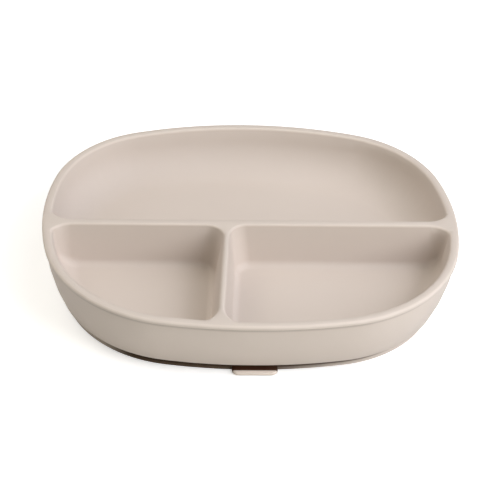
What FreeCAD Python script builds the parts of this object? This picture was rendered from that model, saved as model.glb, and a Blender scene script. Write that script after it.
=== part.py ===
import FreeCAD, Part
import Sketcher
import math
import os

os.makedirs("parts", exist_ok=True)
doc = FreeCAD.newDocument("BabySuctionPlate")

# Driving dimensions in millimetres and degrees
SHEET = [
    ("rim_height", 36.0, "height of the rim top over the table"),
    ("rim_half_width", 107.5, "half width of the rim, left to right"),
    ("rim_half_depth", 88.5, "half depth of the rim, front to back"),
    ("side_radius", 138.0, "plan radius of the left and right ends"),
    ("front_radius", 265.0, "plan radius of the front side"),
    ("back_radius", 210.0, "plan radius of the back side"),
    ("front_corner_radius", 73.0, "plan radius of the front corners"),
    ("back_corner_radius", 62.0, "plan radius of the back corners"),
    ("lip_height", 2.6, "height of the outer lip under the rim"),
    ("lip_overhang", 0.9, "how far the lip stands out from the wall"),
    ("lip_top_bevel", 1.1, "bevel of the outer top edge"),
    ("lip_low_bevel", 0.4, "bevel of the lower edge of the lip"),
    ("wall_bottom_height", 4.2, "height of the lower edge of the outer wall"),
    ("wall_bottom_inset", 8.1, "inset of the outer wall at its lower edge"),
    ("wall_swell_low", 1.2, "swelling of the outer wall at its lower third"),
    ("wall_swell_high", 1.2, "swelling of the outer wall at its upper third"),
    ("wall_foot_bevel", 0.9, "bevel of the lower edge of the wall"),
    ("opening_inset", 4.6, "width of the rim top"),
    ("bowl_draft", 4.0, "run of the bowl wall down to the floor"),
    ("back_foot_rounding", 20.0, "rounding of the foot of the wall in the back compartment"),
    ("front_foot_rounding", 12.0, "rounding of the foot of the wall in the front ones"),
    ("floor_height", 12.0, "height of the compartment floors"),
    ("cross_divider_place", -3.9, "place of the cross divider on the Y axis"),
    ("cross_divider_width", 4.8, "top width of the cross divider"),
    ("short_divider_place", -12.0, "place of the short divider on the X axis"),
    ("short_divider_width", 3.2, "top width of the short divider"),
    ("short_divider_slant", 4.0, "slant of the short divider in plan, degrees"),
    ("divider_draft", 3.9, "run of each divider face down to its root"),
    ("divider_root", 1.5, "depth of the divider roots below the floor"),
    ("divider_sink", 1.2, "reach of the divider ends into the bowl wall"),
    ("corner_radius", 12.0, "plan radius of the compartment corners at the rim"),
    ("corner_turn", 66.0, "turn of the corner arcs before they enter the wall, degrees"),
    ("corner_sink", 0.5, "depth to which the corner arcs enter the wall"),
    ("junction_rounding", 9.0, "rounding of the corners where the dividers meet"),
    ("divider_rounding", 4.0, "rounding where the dividers meet bowl and floor"),
    ("opening_bevel", 1.0, "bevel of the opening edges"),
    ("skirt_root_inset", 13.0, "inset of the suction skirt at its root"),
    ("skirt_foot_inset", 10.3, "inset of the suction skirt on the table"),
    ("skirt_foot_width", 2.4, "width of the ring that rests on the table"),
    ("skirt_mouth_inset", 16.0, "inset of the hollow at the skirt root"),
    ("hollow_inset", 18.0, "inset of the hollow at its ceiling"),
    ("hollow_height", 8.5, "height of the ceiling of the suction hollow"),
    ("hollow_bevel", 2.5, "bevel of the ceiling edge of the hollow"),
    ("tab_width", 22.7, "width of the pull tab"),
    ("tab_reach", 4.8, "reach of the pull tab beyond the skirt"),
    ("tab_thickness", 2.2, "thickness of the pull tab"),
    ("tab_corner_radius", 3.2, "plan radius of the tab corners"),
    ("tab_bevel", 0.6, "bevel of the edges of the tab"),
    ("tab_root_depth", 4.5, "depth of the tab root under the wall"),
]

sheet = doc.addObject("Spreadsheet::Sheet", "Dimensions")
sheet.Label = "Dimensions"
for row, (name, value, note) in enumerate(SHEET, start=1):
    sheet.set("A%d" % row, name)
    sheet.set("B%d" % row, repr(value))
    sheet.set("C%d" % row, note)
    sheet.setAlias("B%d" % row, name)
doc.recompute()


def dim(name):
    return float(getattr(sheet, name))


def ref(name):
    return "Dimensions." + name


body = doc.addObject("PartDesign::Body", "PlateBody")
body.Label = "Divided suction plate"


def plane(role):
    for feature in body.Origin.OriginFeatures:
        if feature.Role == role:
            return feature
    raise ValueError("no origin plane " + role)


def new_sketch(label, height):
    sketch = body.newObject("Sketcher::SketchObject", label.replace(" ", ""))
    sketch.Label = label
    sketch.AttachmentSupport = [(plane("XY_Plane"), "")]
    sketch.MapMode = "FlatFace"
    sketch.setExpression("AttachmentOffset.Base.z", height)
    return sketch


def measure(sketch, kind, args, expression, start):
    index = sketch.addConstraint(Sketcher.Constraint(kind, *args, start))
    sketch.setExpression("Constraints[%d]" % index, expression)
    return index


def corner_centre(half_depth_radius, corner_radius):
    # Centre of the arc that touches the end arc and the long arc from inside
    side_x = dim("rim_half_width") - dim("side_radius")
    long_y = dim("rim_half_depth") - half_depth_radius
    reach_side = dim("side_radius") - corner_radius
    reach_long = half_depth_radius - corner_radius
    span = math.hypot(side_x, long_y)
    along = (reach_side ** 2 - reach_long ** 2 + span ** 2) / (2 * span)
    across = math.sqrt(reach_side ** 2 - along ** 2)
    unit_x = -side_x / span
    unit_y = long_y / span
    return (side_x + along * unit_x - across * unit_y,
            along * unit_y + across * unit_x)


def arc(centre_x, centre_y, radius, first, last):
    circle = Part.Circle(FreeCAD.Vector(centre_x, centre_y, 0),
                         FreeCAD.Vector(0, 0, 1), radius)
    return Part.ArcOfCircle(circle, first, last)


def oval_sketch(label, height, inset_value, inset_expression):
    # Closed oval of eight tangent arcs, set in from the rim outline
    sketch = new_sketch(label, height)
    side = dim("side_radius")
    front = dim("front_radius")
    back = dim("back_radius")
    side_x = dim("rim_half_width") - side
    front_y = dim("rim_half_depth") - front
    back_y = dim("rim_half_depth") - back
    fx, fy = corner_centre(front, dim("front_corner_radius"))
    bx, by = corner_centre(back, dim("back_corner_radius"))
    side_front = math.atan2(fy, fx - side_x)
    long_front = math.atan2(fy - front_y, fx)
    side_back = math.atan2(by, bx - side_x)
    long_back = math.atan2(by - back_y, bx)
    inset = inset_value
    r_side = side - inset
    r_front = front - inset
    r_back = back - inset
    r_fc = dim("front_corner_radius") - inset
    r_bc = dim("back_corner_radius") - inset
    pi = math.pi
    arcs = [
        (side_x, 0.0, r_side, -side_front, side_back, "side_radius"),
        (bx, by, r_bc, side_back, long_back, "back_corner_radius"),
        (0.0, back_y, r_back, long_back, pi - long_back, "back_radius"),
        (-bx, by, r_bc, pi - long_back, pi - side_back, "back_corner_radius"),
        (-side_x, 0.0, r_side, pi - side_back, pi + side_front, "side_radius"),
        (-fx, -fy, r_fc, pi + side_front, pi + long_front, "front_corner_radius"),
        (0.0, -front_y, r_front, pi + long_front, 2 * pi - long_front, "front_radius"),
        (fx, -fy, r_fc, -long_front, -side_front, "front_corner_radius"),
    ]
    for cx, cy, radius, first, last, name in arcs:
        sketch.addGeometry(arc(cx, cy, radius, first, last), False)
    for index in range(8):
        sketch.addConstraint(
            Sketcher.Constraint("Tangent", index, 2, (index + 1) % 8, 1))
    for index in (0, 4):
        sketch.addConstraint(Sketcher.Constraint("PointOnObject", index, 3, -1))
    for index in (2, 6):
        sketch.addConstraint(Sketcher.Constraint("PointOnObject", index, 3, -2))
    gap_x = ref("side_radius") + " - " + ref("rim_half_width")
    measure(sketch, "DistanceX", (0, 3, -1, 1), gap_x, -side_x)
    measure(sketch, "DistanceX", (-1, 1, 4, 3), gap_x, -side_x)
    measure(sketch, "DistanceY", (2, 3, -1, 1),
            ref("back_radius") + " - " + ref("rim_half_depth"), -back_y)
    measure(sketch, "DistanceY", (-1, 1, 6, 3),
            ref("front_radius") + " - " + ref("rim_half_depth"), -front_y)
    for index, entry in enumerate(arcs):
        expression = ref(entry[5])
        if inset_expression:
            expression = expression + " - (" + inset_expression + ")"
        measure(sketch, "Radius", (index,), expression, entry[2])
    return sketch


def loft(kind, label, sections, ruled):
    feature = body.newObject("PartDesign::" + kind, label.replace(" ", ""))
    feature.Label = label
    feature.Profile = sections[0]
    feature.Sections = sections[1:]
    feature.Ruled = ruled
    doc.recompute()
    return feature


def edge_names(feature, test):
    names = []
    for number, edge in enumerate(feature.Shape.Edges, start=1):
        if test(edge):
            names.append("Edge%d" % number)
    return names


def dress(kind, label, test, size_property, size):
    base = body.Tip
    names = edge_names(base, test)
    if not names:
        raise ValueError("no edges for " + label)
    feature = body.newObject("PartDesign::" + kind, label.replace(" ", ""))
    feature.Label = label
    feature.Base = (base, names)
    setattr(feature, size_property, dim(size))
    feature.setExpression(size_property, ref(size))
    doc.recompute()
    return feature


def fillet(label, test, size):
    return dress("Fillet", label, test, "Radius", size)


def chamfer(label, test, size):
    return dress("Chamfer", label, test, "Size", size)


def flat_at(edge, height):
    box = edge.BoundBox
    return abs(box.ZMin - height) < 0.01 and abs(box.ZMax - height) < 0.01


def on_outline(edge, inset):
    # True for an arc of the oval at the given inset
    if not hasattr(edge.Curve, "Radius"):
        return False
    for name in ("side_radius", "front_radius", "back_radius",
                 "front_corner_radius", "back_corner_radius"):
        if abs(edge.Curve.Radius - dim(name) + inset) < 0.01:
            return True
    return False


# Outer wall, swelling slightly between its lower edge and the lip
lip_bottom = ref("rim_height") + " - " + ref("lip_height")
wall_rise = "(" + lip_bottom + " - " + ref("wall_bottom_height") + ")"
wall_run = "(" + ref("wall_bottom_inset") + " - " + ref("lip_overhang") + ")"
run = dim("wall_bottom_inset") - dim("lip_overhang")
wall_sections = [oval_sketch("Wall bottom outline", ref("wall_bottom_height"),
                             dim("wall_bottom_inset"), ref("wall_bottom_inset"))]
for label, share, swell in (("Wall lower third", "1 / 3", "wall_swell_low"),
                            ("Wall upper third", "2 / 3", "wall_swell_high")):
    part = 1 / 3 if share == "1 / 3" else 2 / 3
    wall_sections.append(oval_sketch(
        label, ref("wall_bottom_height") + " + " + wall_rise + " * " + share,
        dim("wall_bottom_inset") - run * part - dim(swell),
        ref("wall_bottom_inset") + " - " + wall_run + " * " + share + " - " + ref(swell)))
wall_sections.append(oval_sketch("Wall top outline", lip_bottom,
                                 dim("lip_overhang"), ref("lip_overhang")))
wall = loft("AdditiveLoft", "Outer wall", wall_sections, True)

# Outer lip under the rim
lip_sketch = oval_sketch("Rim outline", lip_bottom, 0.0, "")
lip = body.newObject("PartDesign::Pad", "OuterLip")
lip.Label = "Outer lip"
lip.Profile = lip_sketch
lip.Length = dim("lip_height")
lip.setExpression("Length", ref("lip_height"))
doc.recompute()

chamfer("Lip top bevel",
        lambda edge: flat_at(edge, dim("rim_height")), "lip_top_bevel")
chamfer("Lip low bevel",
        lambda edge: flat_at(edge, dim("rim_height") - dim("lip_height"))
        and on_outline(edge, 0.0),
        "lip_low_bevel")
chamfer("Wall foot bevel",
        lambda edge: flat_at(edge, dim("wall_bottom_height")), "wall_foot_bevel")

# Inner bowl with drafted wall
bowl_foot_inset = ref("opening_inset") + " + " + ref("bowl_draft")
bowl = loft("SubtractiveLoft", "Inner bowl", [
    oval_sketch("Bowl rim outline", ref("rim_height"),
                dim("opening_inset"), ref("opening_inset")),
    oval_sketch("Bowl floor outline", ref("floor_height"),
                dim("opening_inset") + dim("bowl_draft"), bowl_foot_inset),
], True)
# Core of the cross divider, which parts the foot of the bowl wall into back and front
floor_root = ref("floor_height") + " - " + ref("divider_root")
core = body.newObject("PartDesign::AdditiveWedge", "DividerCore")
core.Label = "Divider core"
core.AttachmentSupport = [(plane("XY_Plane"), "")]
core.MapMode = "FlatFace"
core.AttachmentOffset = FreeCAD.Placement(
    FreeCAD.Vector(0, 0, 0), FreeCAD.Rotation(FreeCAD.Vector(1, 0, 0), 90))
core.setExpression("AttachmentOffset.Base.y", ref("cross_divider_place"))
core.setExpression("AttachmentOffset.Base.z", floor_root)
core.setExpression("Ymin", "0")
core.setExpression("Ymax", ref("rim_height") + " - (" + floor_root + ")")
core_top = (ref("rim_half_width") + " - " + ref("opening_inset")
            + " + " + ref("divider_sink"))
core_foot = core_top + " - " + ref("bowl_draft")
for name, rule in (("Xmin", "-(" + core_foot + ")"), ("Xmax", core_foot),
                   ("X2min", "-(" + core_top + ")"), ("X2max", core_top)):
    core.setExpression(name, rule)
for name in ("Zmin", "Z2min"):
    core.setExpression(name, "-" + ref("cross_divider_width") + " / 4")
for name in ("Zmax", "Z2max"):
    core.setExpression(name, ref("cross_divider_width") + " / 4")
doc.recompute()


def bowl_foot(edge, back):
    # True for an arc of the floor outline behind or in front of the core
    behind = edge.BoundBox.Center.y > dim("cross_divider_place")
    return (flat_at(edge, dim("floor_height")) and behind == back
            and on_outline(edge, dim("opening_inset") + dim("bowl_draft")))


fillet("Back foot rounding", lambda edge: bowl_foot(edge, True), "back_foot_rounding")
fillet("Front foot rounding", lambda edge: bowl_foot(edge, False), "front_foot_rounding")


def arm_sketch(label, support, height, width, draft, arcs_at, ends):
    # Outline of a divider arm along its X axis, flaring by two arcs into the wall
    sketch = new_sketch(label, height)
    sketch.AttachmentSupport = [(support, "")]
    turn = math.radians(dim("corner_turn"))
    radius = dim("corner_radius") - (dim("divider_draft") if draft else 0)
    middle = dim("corner_radius") + dim(width) / 2
    side = middle - radius
    rise = middle - radius * math.cos(turn)
    radius_rule = "(" + ref("corner_radius") + (" - " + ref(draft) if draft else "") + ")"
    middle_rule = "(" + ref("corner_radius") + " + " + ref(width) + " / 2)"
    rise_rule = middle_rule + " - " + radius_rule + " * cos(" + ref("corner_turn") + ")"
    centre, centre_rule = arcs_at
    (near, near_rule), (far, far_rule) = ends
    foot = centre + radius * math.sin(turn)
    quarter = math.pi / 2
    corners = [(near, -side, centre, -side), (foot, -rise, far, -rise),
               (far, -rise, far, rise), (far, rise, foot, rise),
               (centre, side, near, side), (near, side, near, -side)]
    for x1, y1, x2, y2 in corners:
        sketch.addGeometry(Part.LineSegment(
            FreeCAD.Vector(x1, y1, 0), FreeCAD.Vector(x2, y2, 0)), False)
    sketch.addGeometry(arc(centre, -middle, radius, quarter - turn, quarter), False)
    sketch.addGeometry(arc(centre, middle, radius, -quarter, -quarter + turn), False)
    sketch.addConstraint(Sketcher.Constraint("Tangent", 0, 2, 6, 2))
    sketch.addConstraint(Sketcher.Constraint("Tangent", 7, 1, 4, 1))
    for first, first_end, second, second_end in (
            (6, 1, 1, 1), (1, 2, 2, 1), (2, 2, 3, 1),
            (3, 2, 7, 2), (4, 2, 5, 1), (5, 2, 0, 1)):
        sketch.addConstraint(
            Sketcher.Constraint("Coincident", first, first_end, second, second_end))
    for index in (0, 1, 3, 4):
        sketch.addConstraint(Sketcher.Constraint("Horizontal", index))
    for index in (2, 5):
        sketch.addConstraint(Sketcher.Constraint("Vertical", index))
    for index in (6, 7):
        measure(sketch, "Radius", (index,), radius_rule, radius)
        measure(sketch, "DistanceX", (-1, 1, index, 3), centre_rule, centre)
    measure(sketch, "DistanceY", (6, 3, -1, 1), middle_rule, middle)
    measure(sketch, "DistanceY", (-1, 1, 7, 3), middle_rule, middle)
    measure(sketch, "DistanceY", (1, 1, -1, 1), rise_rule, rise)
    measure(sketch, "DistanceY", (-1, 1, 3, 1), rise_rule, rise)
    measure(sketch, "DistanceX", (-1, 1, 2, 1), far_rule, far)
    measure(sketch, "DistanceX", (-1, 1, 5, 1), near_rule, near)
    return sketch


def divider_arm(label, place, angle, width, half_size, near):
    # Arm from its near end to the bowl wall, wider at the root than at the top
    support = body.newObject("PartDesign::Plane", label.replace(" ", "") + "Plane")
    support.Label = label + " plane"
    support.AttachmentSupport = [(plane("XY_Plane"), "")]
    support.MapMode = "FlatFace"
    support.AttachmentOffset = FreeCAD.Placement(
        FreeCAD.Vector(0, 0, 0), FreeCAD.Rotation(FreeCAD.Vector(0, 0, -1), angle[0]))
    support.setExpression("AttachmentOffset.Base.x", place[0])
    support.setExpression("AttachmentOffset.Base.y", place[1])
    support.setExpression("AttachmentOffset.Rotation.Angle", angle[1])
    doc.recompute()
    run = dim("corner_radius") * math.sin(math.radians(dim("corner_turn")))
    arcs_at = (dim(half_size) - dim("opening_inset") + dim("corner_sink") - run,
               ref(half_size) + " - " + ref("opening_inset") + " + " + ref("corner_sink")
               + " - " + ref("corner_radius") + " * sin(" + ref("corner_turn") + ")")
    top_end = (dim(half_size) - dim("opening_inset") + dim("divider_sink"),
               ref(half_size) + " - " + ref("opening_inset") + " + " + ref("divider_sink"))
    root_end = (top_end[0] - dim("bowl_draft"), top_end[1] + " - " + ref("bowl_draft"))
    return loft("AdditiveLoft", label, [
        arm_sketch(label + " root", support, floor_root, width, "divider_draft",
                   arcs_at, (near, root_end)),
        arm_sketch(label + " top", support, ref("rim_height"), width, "",
                   arcs_at, (near, top_end)),
    ], True)


# Dividers with drafted sides, their ends flaring into the bowl wall
cross_place = ("0", ref("cross_divider_place"))
divider_arm("Cross divider right", cross_place, (0, "0"),
            "cross_divider_width", "rim_half_width", (0, "0"))
divider_arm("Cross divider left", cross_place, (180, "180"),
            "cross_divider_width", "rim_half_width", (0, "0"))
divider_arm("Short divider", (ref("short_divider_place"), "0"),
            (90 + dim("short_divider_slant"), "90 + " + ref("short_divider_slant")),
            "short_divider_width", "rim_half_depth",
            (-dim("cross_divider_place"), "-" + ref("cross_divider_place")))


def inside_edge(edge):
    # True for an edge below the rim and not under the floor
    box = edge.BoundBox
    return (box.ZMin < dim("rim_height") - 0.1 and box.ZMin > dim("floor_height") - 0.1)


def side_faces(edge):
    return body.Tip.Shape.ancestorsOfType(edge, Part.Face)


def divider_junction(edge):
    # True for the steep edges between the sides of two dividers
    return inside_edge(edge) and not flat_at(edge, dim("floor_height")) and all(
        face.Surface.isPlanar() for face in side_faces(edge))


fillet("Divider junction rounding", divider_junction, "junction_rounding")


def divider_crease(edge):
    # True for a crease between two faces of the bowl that look upwards
    if not inside_edge(edge):
        return False
    middle = edge.valueAt((edge.FirstParameter + edge.LastParameter) / 2)
    normals = []
    for face in side_faces(edge):
        normals.append(face.normalAt(*face.Surface.parameter(middle)))
    if len(normals) != 2 or min(normal.z for normal in normals) < 0.02:
        return False
    return math.degrees(normals[0].getAngle(normals[1])) > 5


fillet("Divider rounding", divider_crease, "divider_rounding")


def opening_edge(edge):
    return flat_at(edge, dim("rim_height")) and not on_outline(
        edge, dim("lip_top_bevel"))


chamfer("Opening edge bevel", opening_edge, "opening_bevel")

# Suction skirt under the wall, flaring outwards to the table
skirt = loft("AdditiveLoft", "Suction skirt", [
    oval_sketch("Skirt foot outline", "0",
                dim("skirt_foot_inset"), ref("skirt_foot_inset")),
    oval_sketch("Skirt root outline", ref("wall_bottom_height"),
                dim("skirt_root_inset"), ref("skirt_root_inset")),
], True)

# Pull tab at the front of the skirt
tab_sketch = new_sketch("Pull tab outline", "0")
half = dim("tab_width") / 2
radius = dim("tab_corner_radius")
front_edge = dim("rim_half_depth") - dim("skirt_foot_inset") + dim("tab_reach")
root_edge = dim("rim_half_depth") - dim("skirt_foot_inset") - dim("tab_root_depth")
tab_points = [
    FreeCAD.Vector(-half, -root_edge, 0),
    FreeCAD.Vector(-half, -front_edge + radius, 0),
    FreeCAD.Vector(-half + radius, -front_edge, 0),
    FreeCAD.Vector(half - radius, -front_edge, 0),
    FreeCAD.Vector(half, -front_edge + radius, 0),
    FreeCAD.Vector(half, -root_edge, 0),
]
tab_sketch.addGeometry(Part.LineSegment(tab_points[0], tab_points[1]), False)
tab_sketch.addGeometry(arc(-half + radius, -front_edge + radius, radius,
                           math.pi, 1.5 * math.pi), False)
tab_sketch.addGeometry(Part.LineSegment(tab_points[2], tab_points[3]), False)
tab_sketch.addGeometry(arc(half - radius, -front_edge + radius, radius,
                           1.5 * math.pi, 2 * math.pi), False)
tab_sketch.addGeometry(Part.LineSegment(tab_points[4], tab_points[5]), False)
tab_sketch.addGeometry(Part.LineSegment(tab_points[5], tab_points[0]), False)
for first, first_end, second, second_end in (
        (0, 2, 1, 1), (1, 2, 2, 1), (2, 2, 3, 1), (3, 2, 4, 1)):
    tab_sketch.addConstraint(
        Sketcher.Constraint("Tangent", first, first_end, second, second_end))
tab_sketch.addConstraint(Sketcher.Constraint("Coincident", 4, 2, 5, 1))
tab_sketch.addConstraint(Sketcher.Constraint("Coincident", 5, 2, 0, 1))
tab_sketch.addConstraint(Sketcher.Constraint("Vertical", 0))
tab_sketch.addConstraint(Sketcher.Constraint("Vertical", 4))
tab_sketch.addConstraint(Sketcher.Constraint("Horizontal", 5))
tab_sketch.addConstraint(Sketcher.Constraint("Horizontal", 2))
measure(tab_sketch, "Radius", (1,), ref("tab_corner_radius"), radius)
measure(tab_sketch, "Radius", (3,), ref("tab_corner_radius"), radius)
measure(tab_sketch, "DistanceX", (0, 1, -1, 1), ref("tab_width") + " / 2", half)
measure(tab_sketch, "DistanceX", (-1, 1, 5, 1), ref("tab_width") + " / 2", half)
skirt_edge_rule = ref("rim_half_depth") + " - " + ref("skirt_foot_inset")
measure(tab_sketch, "DistanceY", (2, 1, -1, 1),
        skirt_edge_rule + " + " + ref("tab_reach"), front_edge)
measure(tab_sketch, "DistanceY", (5, 1, -1, 1),
        skirt_edge_rule + " - " + ref("tab_root_depth"), root_edge)
tab = body.newObject("PartDesign::Pad", "PullTab")
tab.Label = "Pull tab"
tab.Profile = tab_sketch
tab.Length = dim("tab_thickness")
tab.setExpression("Length", ref("tab_thickness"))
doc.recompute()


def tab_edge(edge):
    # True for the upper and lower edges of the tab outside the skirt
    box = edge.BoundBox
    flat = flat_at(edge, 0.0) or flat_at(edge, dim("tab_thickness"))
    outside = dim("rim_half_depth") - dim("skirt_foot_inset") + 0.05
    return flat and box.YMin < -outside and abs(box.Center.x) < dim("tab_width")


chamfer("Tab bevel", tab_edge, "tab_bevel")

# Hollow inside the skirt and under the floor
hollow_low = loft("SubtractiveLoft", "Skirt mouth", [
    oval_sketch("Skirt ring outline", "0",
                dim("skirt_foot_inset") + dim("skirt_foot_width"),
                ref("skirt_foot_inset") + " + " + ref("skirt_foot_width")),
    oval_sketch("Hollow mouth outline", ref("wall_bottom_height"),
                dim("skirt_mouth_inset"), ref("skirt_mouth_inset")),
], True)
hollow_high = loft("SubtractiveLoft", "Suction hollow", [
    oval_sketch("Hollow mouth outline again", ref("wall_bottom_height"),
                dim("skirt_mouth_inset"), ref("skirt_mouth_inset")),
    oval_sketch("Hollow ceiling outline", ref("hollow_height"),
                dim("hollow_inset"), ref("hollow_inset")),
], True)
chamfer("Hollow ceiling bevel",
        lambda edge: flat_at(edge, dim("hollow_height")), "hollow_bevel")

plate = body.Tip.Shape

for item in doc.Objects:
    for word in ("Invalid", "Error"):
        if word in item.State:
            raise ValueError(item.Label + " is " + word)
    if item.isDerivedFrom("PartDesign::Feature"):
        if item.Shape.isNull() or not item.Shape.isValid():
            raise ValueError(item.Label + " has no valid shape")
if len(plate.Solids) != 1:
    raise ValueError("the plate is not one solid")
plate.Solids[0].exportStep("parts/plate.step")
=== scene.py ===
import math
from collections import Counter

import bmesh
import bpy
from mathutils import Matrix, Vector


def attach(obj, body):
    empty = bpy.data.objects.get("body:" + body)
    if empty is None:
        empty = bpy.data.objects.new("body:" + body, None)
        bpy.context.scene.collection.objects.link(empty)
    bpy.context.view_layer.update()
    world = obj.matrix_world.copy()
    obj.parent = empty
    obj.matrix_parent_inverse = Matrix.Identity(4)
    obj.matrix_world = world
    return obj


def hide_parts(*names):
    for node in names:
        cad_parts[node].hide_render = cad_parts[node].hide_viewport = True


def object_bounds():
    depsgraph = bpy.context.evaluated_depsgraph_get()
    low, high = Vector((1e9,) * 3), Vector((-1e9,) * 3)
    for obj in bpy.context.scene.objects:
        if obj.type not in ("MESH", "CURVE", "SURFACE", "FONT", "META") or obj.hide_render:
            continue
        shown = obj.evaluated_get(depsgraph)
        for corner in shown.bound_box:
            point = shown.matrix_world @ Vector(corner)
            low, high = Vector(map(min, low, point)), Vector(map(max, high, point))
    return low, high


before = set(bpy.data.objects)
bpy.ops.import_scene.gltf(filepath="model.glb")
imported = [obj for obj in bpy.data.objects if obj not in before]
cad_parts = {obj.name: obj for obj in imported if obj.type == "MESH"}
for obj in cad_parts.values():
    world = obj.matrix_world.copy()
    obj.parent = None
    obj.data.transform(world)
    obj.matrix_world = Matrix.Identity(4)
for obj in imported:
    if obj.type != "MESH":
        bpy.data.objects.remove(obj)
cad_low, cad_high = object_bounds()
scene = bpy.context.scene

# Camera of the photograph, found by fitting the plate's outlines, in degrees and metres
CAMERA_TURN = -4.0
CAMERA_HEIGHT = 37.24
CAMERA_TILT = 2.82
CAMERA_DISTANCE = 0.900
CAMERA_RIGHT = 0.0009
CAMERA_UP = 0.01176
CAMERA_NEAREST = 0.01
FOCAL_PIXELS = 1695.0
PHOTO_PIXELS = 500.0
SENSOR_WIDTH = 36.0

# Colours
SAND = (0.652, 0.578, 0.529)
SAND_DEEP = (0.628, 0.553, 0.502)
# Painted shade in the gap under the wall: brown on the skirt and reddish brown on the pull tab's
# top
GAP_SHADE_BROWN = (0.150, 0.118, 0.086)
GAP_DEEP_SHADE_BROWN = (0.050, 0.037, 0.025)
TAB_SHADE_BROWN = (0.058, 0.018, 0.005)
GROUND_GREY = (0.80, 0.80, 0.80)
STUDIO_WHITE = (1.0, 0.995, 0.985)
WHITE = (1.0, 1.0, 1.0)

# Finish of the moulded silicone: broad clouds in the colour, fine grain in the surface
CLOUD_SCALE = 18.0
CLOUD_DETAIL = 3.0
CLOUD_ROUGHNESS = 0.55
GRAIN_SCALE = 1500.0
GRAIN_DETAIL = 4.0
GRAIN_ROUGHNESS = 0.60
GRAIN_LOW = 0.3
GRAIN_HIGH = 0.7
GRAIN_STRENGTH = 0.12
GRAIN_DEPTH = 0.00015
MATT_LOW = 0.52
MATT_HIGH = 0.66
SILICONE_IOR = 1.41
SILICONE_SPECULAR = 0.35
SHEEN_WEIGHT = 0.06
SHEEN_ROUGHNESS = 0.5

# Joining the solid's corners, in metres and degrees, and evening out its shading
MERGE_DISTANCE = 0.000002
SHARP_ANGLE = 60.0
FACE_AREA_WEIGHT = 90

# Painted highlight on the edges of lip and openings, and painted shade under the lip, as heights
# in metres
RIM_TOP = cad_high[2]
EDGE_HEIGHT = 0.0013
EDGE_BOTTOM = RIM_TOP - EDGE_HEIGHT
EDGE_RISE = 0.0005
EDGE_SOFTNESS = 0.0003
EDGE_HIGHLIGHT = 1.09
LIP_HEIGHT = 0.0026
LIP_BOTTOM = RIM_TOP - LIP_HEIGHT
LIP_SHADE_DEPTH = 0.0026
LIP_SHADE = 0.76

# How far out a face looks, in metres, for it to count as outer wall or as outer skirt
WALL_REACH_LOW = 0.060
WALL_REACH_HIGH = 0.075
SKIRT_REACH_LOW = 0.020
SKIRT_REACH_HIGH = 0.040

# How far up a face looks for it to count as the top of the pull tab
UPWARD_LOW = 0.45
UPWARD_HIGH = 0.65

# Painted shade in the gap under the wall, brown on the skirt and reddish brown on the tab's top,
# and painted light on the pull tab before it, in metres from the table and from the plate's middle
GAP_TOP = 0.0042
GAP_SOFTNESS = 0.0006
GAP_FRONT = 0.0809
GAP_BACK = -0.010
GAP_LEFT = 0.079
GAP_RIGHT = 0.084
GAP_FADE = 0.020
BAND_LOW = 0.0006
BAND_HIGH = 0.0015
BAND_LOW_FADE = 3.0
BAND_HIGH_FADE = 0.25
TAB_PAINTED_LIGHT = 1.28

# Ground, world and lamps, in metres, with the lamps' power in watts
GROUND_HALF = 3.0
GROUND_NEAR = 0.30
GROUND_FAR = 1.20
GROUND_LIFT = 0.50
WORLD_LEVEL = 0.04
LAMP_DISTANCE = 1.2
LAMP_SIDE = 0.9
LOW_LAMP_SIDE = 0.5

# Spacing of the nodes when a node tree is opened
COLUMN_WIDTH = 220
ROW_HEIGHT = 200


def add_node(tree, kind, values=None, **settings):
    """New node with the given settings and fixed input values."""
    node = tree.nodes.new(kind)
    for key, value in settings.items():
        setattr(node, key, value)
    for socket, value in (values or {}).items():
        node.inputs[socket].default_value = value
    return node


def arrange(tree):
    """Set the nodes out in columns, each to the left of the nodes that it feeds."""
    column = Counter()
    for _ in tree.nodes:
        for link in tree.links:
            feeding, fed = link.from_node.name, link.to_node.name
            column[feeding] = max(column[feeding], column[fed] + 1)
    rows = Counter()
    for node in tree.nodes:
        place = column[node.name]
        node.location = (-COLUMN_WIDTH * place, -ROW_HEIGHT * rows[place])
        rows[place] += 1


def ramp(tree, source, start, end, low=0.0, high=1.0):
    """Smooth change from low to high while the source goes from start to end."""
    sizes = {"From Min": start, "From Max": end, "To Min": low, "To Max": high}
    node = add_node(tree, "ShaderNodeMapRange", sizes, interpolation_type="SMOOTHSTEP")
    tree.links.new(source, node.inputs["Value"])
    return node.outputs["Result"]


def combine(tree, operation, first, second):
    """One value from two, by an operation of the maths node."""
    node = add_node(tree, "ShaderNodeMath", operation=operation)
    tree.links.new(first, node.inputs[0])
    tree.links.new(second, node.inputs[1])
    return node.outputs["Value"]


def where_all(tree, first, *masks):
    """Mask that is one only where every one of the masks is one."""
    for mask in masks:
        first = combine(tree, "MULTIPLY", first, mask)
    return first


def blend(tree, mask, first, second):
    """Colour that goes from first to second as the mask goes from nought to one."""
    mix = add_node(tree, "ShaderNodeMix", data_type="RGBA")
    tree.links.new(mask, mix.inputs["Factor"])
    for socket, colour in (("A", first), ("B", second)):
        if isinstance(colour, tuple):
            mix.inputs[socket].default_value = (*colour, 1.0)
        else:
            tree.links.new(colour, mix.inputs[socket])
    return mix.outputs["Result"]


def axis_values(tree, vector):
    """The X, Y and Z of a vector as three values."""
    parts = add_node(tree, "ShaderNodeSeparateXYZ")
    tree.links.new(vector, parts.inputs["Vector"])
    return [parts.outputs[axis] for axis in "XYZ"]


def face_direction(tree):
    """Direction in which the face itself looks, without its soft shading."""
    return add_node(tree, "ShaderNodeNewGeometry").outputs["True Normal"]


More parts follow.
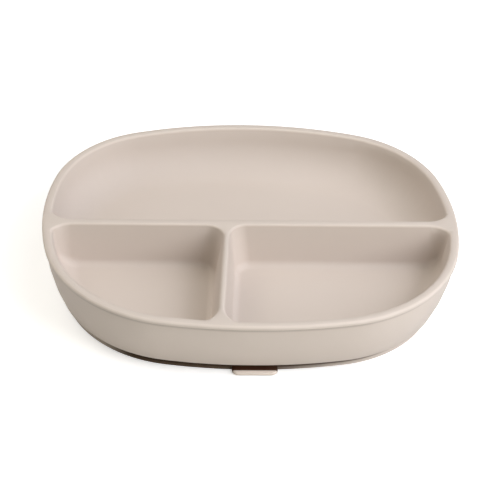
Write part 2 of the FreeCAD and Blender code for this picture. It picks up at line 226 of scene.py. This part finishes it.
def outward_mask(tree, place, low, high):
    """One on faces that look away from the middle of the plate, nought on the others."""
    reach = add_node(tree, "ShaderNodeVectorMath", operation="DOT_PRODUCT")
    tree.links.new(face_direction(tree), reach.inputs[0])
    tree.links.new(place, reach.inputs[1])
    return ramp(tree, reach.outputs["Value"], low, high)


def upward_mask(tree):
    """One on faces that look up, nought on upright ones."""
    height = axis_values(tree, face_direction(tree))[2]
    return ramp(tree, height, UPWARD_LOW, UPWARD_HIGH)


def new_group(name, inputs, outputs):
    """Empty node group with its sockets, its input and output nodes."""
    group = bpy.data.node_groups.new(name, "ShaderNodeTree")
    for socket_name, kind, value in inputs:
        socket = group.interface.new_socket(
            socket_name, in_out="INPUT", socket_type="NodeSocket" + kind)
        if value is not None:
            socket.default_value = value
    for socket_name, kind in outputs:
        group.interface.new_socket(
            socket_name, in_out="OUTPUT", socket_type="NodeSocket" + kind)
    enter = add_node(group, "NodeGroupInput")
    leave = add_node(group, "NodeGroupOutput")
    return group, enter, leave


def moulded_surface_group():
    """Colour, roughness and height of moulded silicone, from points in metres."""
    inputs = (("Place", "Vector", None),
              ("Light Colour", "Color", (*SAND, 1.0)),
              ("Deep Colour", "Color", (*SAND_DEEP, 1.0)),
              ("Cloud Scale", "Float", CLOUD_SCALE),
              ("Grain Scale", "Float", GRAIN_SCALE),
              ("Roughness Low", "Float", MATT_LOW),
              ("Roughness High", "Float", MATT_HIGH))
    outputs = (("Colour", "Color"), ("Roughness", "Float"), ("Height", "Float"))
    group, enter, leave = new_group("moulded_surface", inputs, outputs)
    clouds = add_node(group, "ShaderNodeTexNoise",
                      {"Detail": CLOUD_DETAIL, "Roughness": CLOUD_ROUGHNESS})
    grain = add_node(group, "ShaderNodeTexNoise",
                     {"Detail": GRAIN_DETAIL, "Roughness": GRAIN_ROUGHNESS})
    for noise, scale in ((clouds, "Cloud Scale"), (grain, "Grain Scale")):
        group.links.new(enter.outputs["Place"], noise.inputs["Vector"])
        group.links.new(enter.outputs[scale], noise.inputs["Scale"])

    colour = blend(group, clouds.outputs["Fac"], enter.outputs["Deep Colour"],
                   enter.outputs["Light Colour"])
    matt = add_node(group, "ShaderNodeMapRange", {"From Min": GRAIN_LOW, "From Max": GRAIN_HIGH})
    group.links.new(grain.outputs["Fac"], matt.inputs["Value"])
    group.links.new(enter.outputs["Roughness Low"], matt.inputs["To Min"])
    group.links.new(enter.outputs["Roughness High"], matt.inputs["To Max"])

    group.links.new(colour, leave.inputs["Colour"])
    group.links.new(matt.outputs["Result"], leave.inputs["Roughness"])
    group.links.new(grain.outputs["Fac"], leave.inputs["Height"])
    arrange(group)
    return group


def new_shade_group(name):
    """Empty group that takes a place and a colour and gives a colour back."""
    inputs = (("Place", "Vector", None), ("Colour", "Color", None))
    return new_group(name, inputs, (("Colour", "Color"),))


def finish_shade_group(group, leave, colour, level):
    """Lighten or darken the colour by a level on its way out of the group."""
    scaled = add_node(group, "ShaderNodeVectorMath", operation="SCALE")
    group.links.new(colour, scaled.inputs["Vector"])
    group.links.new(level, scaled.inputs["Scale"])
    group.links.new(scaled.outputs["Vector"], leave.inputs["Colour"])
    arrange(group)


def lip_shade_group():
    """Painted shade: a soft dark line on the outer wall just under the lip, where the lip's
    overhang shades it.
    """
    group, enter, leave = new_shade_group("lip_shade")
    place = enter.outputs["Place"]
    height = axis_values(group, place)[2]
    near_lip = ramp(group, height, LIP_BOTTOM - LIP_SHADE_DEPTH, LIP_BOTTOM)
    below_lip = add_node(group, "ShaderNodeMath", {1: LIP_BOTTOM + MERGE_DISTANCE},
                         operation="LESS_THAN")
    group.links.new(height, below_lip.inputs[0])
    outside = outward_mask(group, place, WALL_REACH_LOW, WALL_REACH_HIGH)
    line = where_all(group, near_lip, below_lip.outputs["Value"], outside)
    level = ramp(group, line, 0.0, 1.0, 1.0, LIP_SHADE)
    finish_shade_group(group, leave, enter.outputs["Colour"], level)
    return group


def edge_highlight_group():
    """Painted highlight: slightly paler colour on the thin rounded edges of lip and openings,
    where they catch the light.
    """
    group, enter, leave = new_shade_group("painted_edge_highlight")
    height = axis_values(group, enter.outputs["Place"])[2]
    rise = ramp(group, height, EDGE_BOTTOM, EDGE_BOTTOM + EDGE_RISE)
    fall = ramp(group, height, RIM_TOP, RIM_TOP - EDGE_SOFTNESS)
    edge = where_all(group, rise, fall)
    level = ramp(group, edge, 0.0, 1.0, 1.0, EDGE_HIGHLIGHT)
    finish_shade_group(group, leave, enter.outputs["Colour"], level)
    return group


def gap_stretch(group, x, y, z):
    """Mask of the painted shade along the front of the skirt: it starts at the left and fades out
    to the right, on the key lamp's side.
    """
    left = ramp(group, x, -GAP_LEFT, GAP_FADE - GAP_LEFT)
    front = ramp(group, y, GAP_BACK, GAP_BACK - GAP_FADE)
    right = ramp(group, x, GAP_RIGHT, 0.0)
    fade = ramp(group, z, BAND_LOW, BAND_HIGH, BAND_LOW_FADE, BAND_HIGH_FADE)
    fading = combine(group, "POWER", right, fade)
    return where_all(group, left, front, fading)


def gap_shade_group():
    """Painted shade in the gap under the wall, brown on the skirt and the tab's top, and painted
    light on the pull tab before it.
    """
    group, enter, leave = new_shade_group("gap_shade")
    place = enter.outputs["Place"]
    x, y, z = axis_values(group, place)
    low = ramp(group, z, GAP_TOP, GAP_TOP - GAP_SOFTNESS)
    outside = outward_mask(group, place, SKIRT_REACH_LOW, SKIRT_REACH_HIGH)
    upward = upward_mask(group)
    seen = combine(group, "MAXIMUM", outside, upward)
    behind = ramp(group, y, -GAP_FRONT - GAP_SOFTNESS, -GAP_FRONT)
    in_gap = where_all(group, low, seen, behind, gap_stretch(group, x, y, z))

    # Painted shade: deeper brown higher in the gap, reddish brown on the tab's top under the wall
    high_in_gap = ramp(group, z, BAND_LOW, BAND_HIGH)
    skirt_shade = blend(group, high_in_gap, GAP_SHADE_BROWN, GAP_DEEP_SHADE_BROWN)
    shade_colour = blend(group, upward, skirt_shade, TAB_SHADE_BROWN)
    shaded = blend(group, in_gap, enter.outputs["Colour"], shade_colour)

    # Painted light: the pull tab in front of the wall is made lighter
    before = ramp(group, y, -GAP_FRONT, -GAP_FRONT - GAP_SOFTNESS)
    tab = where_all(group, low, before)
    level = ramp(group, tab, 0.0, 1.0, 1.0, TAB_PAINTED_LIGHT)
    finish_shade_group(group, leave, shaded, level)
    return group


def new_material(name):
    """Material with an empty node tree."""
    material = bpy.data.materials.new(name)
    material.use_nodes = True
    material.node_tree.nodes.clear()
    return material


def silicone_material():
    """Matt sand-coloured silicone with a fine mould grain."""
    material = new_material("sand_silicone")
    tree = material.node_tree
    output = add_node(tree, "ShaderNodeOutputMaterial")
    shader = add_node(tree, "ShaderNodeBsdfPrincipled", {
        "IOR": SILICONE_IOR,
        "Specular IOR Level": SILICONE_SPECULAR,
        "Sheen Weight": SHEEN_WEIGHT,
        "Sheen Roughness": SHEEN_ROUGHNESS,
    })
    place = add_node(tree, "ShaderNodeTexCoord").outputs["Object"]
    surface = add_node(tree, "ShaderNodeGroup", node_tree=moulded_surface_group())
    tree.links.new(place, surface.inputs["Place"])
    colour = surface.outputs["Colour"]
    # Painted shade under the lip, painted highlight on the edges, painted shade in the gap and
    # painted light on the pull tab
    for shade_group in (lip_shade_group(), edge_highlight_group(), gap_shade_group()):
        shade = add_node(tree, "ShaderNodeGroup", node_tree=shade_group)
        tree.links.new(place, shade.inputs["Place"])
        tree.links.new(colour, shade.inputs["Colour"])
        colour = shade.outputs["Colour"]
    bump = add_node(tree, "ShaderNodeBump", {"Strength": GRAIN_STRENGTH, "Distance": GRAIN_DEPTH})
    tree.links.new(surface.outputs["Height"], bump.inputs["Height"])
    tree.links.new(colour, shader.inputs["Base Color"])
    tree.links.new(surface.outputs["Roughness"], shader.inputs["Roughness"])
    tree.links.new(bump.outputs["Normal"], shader.inputs["Normal"])
    tree.links.new(shader.outputs["BSDF"], output.inputs["Surface"])
    arrange(tree)
    return material


def ground_material():
    """Pale ground that keeps the plate's soft shadow and goes white to the camera farther out."""
    material = new_material("pale_ground")
    tree = material.node_tree
    output = add_node(tree, "ShaderNodeOutputMaterial")
    pale = add_node(tree, "ShaderNodeBsdfDiffuse", {"Color": (*GROUND_GREY, 1.0)})
    glow = add_node(tree, "ShaderNodeEmission", {"Color": (*WHITE, 1.0)})
    both = add_node(tree, "ShaderNodeAddShader")
    place = add_node(tree, "ShaderNodeTexCoord").outputs["Object"]
    distance = add_node(tree, "ShaderNodeVectorMath", operation="LENGTH")
    tree.links.new(place, distance.inputs[0])
    lift = ramp(tree, distance.outputs["Value"], GROUND_NEAR, GROUND_FAR, GROUND_LIFT, 1.0)
    to_camera = add_node(tree, "ShaderNodeLightPath").outputs["Is Camera Ray"]
    shown = combine(tree, "MULTIPLY", to_camera, lift)
    tree.links.new(shown, glow.inputs["Strength"])
    tree.links.new(pale.outputs["BSDF"], both.inputs[0])
    tree.links.new(glow.outputs["Emission"], both.inputs[1])
    tree.links.new(both.outputs["Shader"], output.inputs["Surface"])
    arrange(tree)
    return material


def build_plate(node):
    """The plate's solid with joined corners, so that its narrow bevels shade as soft roundings."""
    form = bmesh.new()
    form.from_mesh(node.data)
    form.transform(node.matrix_world)
    bmesh.ops.remove_doubles(form, verts=form.verts, dist=MERGE_DISTANCE)
    sharp = math.radians(SHARP_ANGLE)
    for face in form.faces:
        face.smooth = True
    for edge in form.edges:
        edge.smooth = edge.calc_face_angle(0.0) < sharp
    mesh = bpy.data.meshes.new("moulded_plate")
    form.to_mesh(mesh)
    form.free()
    mesh.materials.append(silicone_material())
    piece = bpy.data.objects.new("moulded_plate", mesh)
    scene.collection.objects.link(piece)
    shading = piece.modifiers.new("soft_shading", "WEIGHTED_NORMAL")
    shading.mode = "FACE_AREA"
    shading.weight = FACE_AREA_WEIGHT
    shading.keep_sharp = True
    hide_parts("plate")
    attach(piece, "root")


def build_ground():
    """Wide flat ground at the height of the table."""
    mesh = bpy.data.meshes.new("ground")
    corners = [(-GROUND_HALF, -GROUND_HALF, 0.0), (GROUND_HALF, -GROUND_HALF, 0.0),
               (GROUND_HALF, GROUND_HALF, 0.0), (-GROUND_HALF, GROUND_HALF, 0.0)]
    mesh.from_pydata(corners, [], [(0, 1, 2, 3)])
    mesh.materials.append(ground_material())
    ground = bpy.data.objects.new("ground", mesh)
    scene.collection.objects.link(ground)


def build_world():
    """Faint even light from all round, with a white background for the camera alone."""
    world = bpy.data.worlds.new("studio")
    world.use_nodes = True
    tree = world.node_tree
    tree.nodes.clear()
    output = add_node(tree, "ShaderNodeOutputWorld")
    light = add_node(tree, "ShaderNodeBackground",
                     {"Color": (*STUDIO_WHITE, 1.0), "Strength": WORLD_LEVEL})
    backdrop = add_node(tree, "ShaderNodeBackground", {"Color": (*WHITE, 1.0), "Strength": 1.0})
    mix = add_node(tree, "ShaderNodeMixShader")
    to_camera = add_node(tree, "ShaderNodeLightPath").outputs["Is Camera Ray"]
    tree.links.new(to_camera, mix.inputs["Fac"])
    tree.links.new(light.outputs["Background"], mix.inputs[1])
    tree.links.new(backdrop.outputs["Background"], mix.inputs[2])
    tree.links.new(mix.outputs["Shader"], output.inputs["Surface"])
    arrange(tree)
    scene.world = world


def build_lamp(name, turn, height, power, colour, depth=LAMP_SIDE):
    """Soft lamp aimed at the plate: turn about the plate and height over the table in degrees."""
    turn, height = math.radians(turn), math.radians(height)
    light = bpy.data.lights.new(name, "AREA")
    light.shape = "RECTANGLE"
    light.size = LAMP_SIDE
    light.size_y = depth
    light.energy = power
    light.color = colour
    lamp = bpy.data.objects.new(name, light)
    lamp.location = (LAMP_DISTANCE * math.cos(turn) * math.cos(height),
                     LAMP_DISTANCE * math.sin(turn) * math.cos(height),
                     LAMP_DISTANCE * math.sin(height))
    lamp.rotation_euler = (-lamp.location).to_track_quat("-Z", "Y").to_euler()
    scene.collection.objects.link(lamp)


def build_camera():
    """Camera of the photograph, turned about the plate, raised, tilted and moved to its frame."""
    turn = math.radians(CAMERA_TURN)
    height = math.radians(CAMERA_HEIGHT)
    tilt = math.radians(CAMERA_TILT)
    back = Vector((math.sin(turn) * math.cos(height),
                   -math.cos(turn) * math.cos(height), math.sin(height)))
    level_right = Vector((math.cos(turn), math.sin(turn), 0.0))
    level_up = back.cross(level_right)
    right = level_right * math.cos(tilt) + level_up * math.sin(tilt)
    up = level_up * math.cos(tilt) - level_right * math.sin(tilt)
    place = back * CAMERA_DISTANCE + right * CAMERA_RIGHT + up * CAMERA_UP
    lens = bpy.data.cameras.new("photo_camera")
    lens.sensor_fit = "HORIZONTAL"
    lens.sensor_width = SENSOR_WIDTH
    lens.lens = FOCAL_PIXELS / PHOTO_PIXELS * SENSOR_WIDTH
    lens.clip_start = CAMERA_NEAREST
    camera = bpy.data.objects.new("photo_camera", lens)
    turned = Matrix((right, up, back)).transposed().to_4x4()
    camera.matrix_world = Matrix.Translation(place) @ turned
    scene.collection.objects.link(camera)
    scene.camera = camera


build_plate(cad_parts["plate"])

build_ground()
build_world()
build_lamp("key_lamp", -30.0, 38.0, 11.3, (0.965, 0.968, 1.0))
build_lamp("right_top_lamp", -20.0, 65.0, 4.1, (0.935, 0.962, 1.0))
build_lamp("back_lamp", 150.0, 38.0, 5.6, (1.0, 0.960, 0.930))
build_lamp("left_top_lamp", 170.0, 65.0, 3.0, (1.0, 0.940, 0.720))
build_lamp("front_lamp", -78.0, 12.0, 2.8, (1.0, 0.965, 0.760), depth=LOW_LAMP_SIDE)
build_camera()
scene.view_settings.view_transform = "Standard"
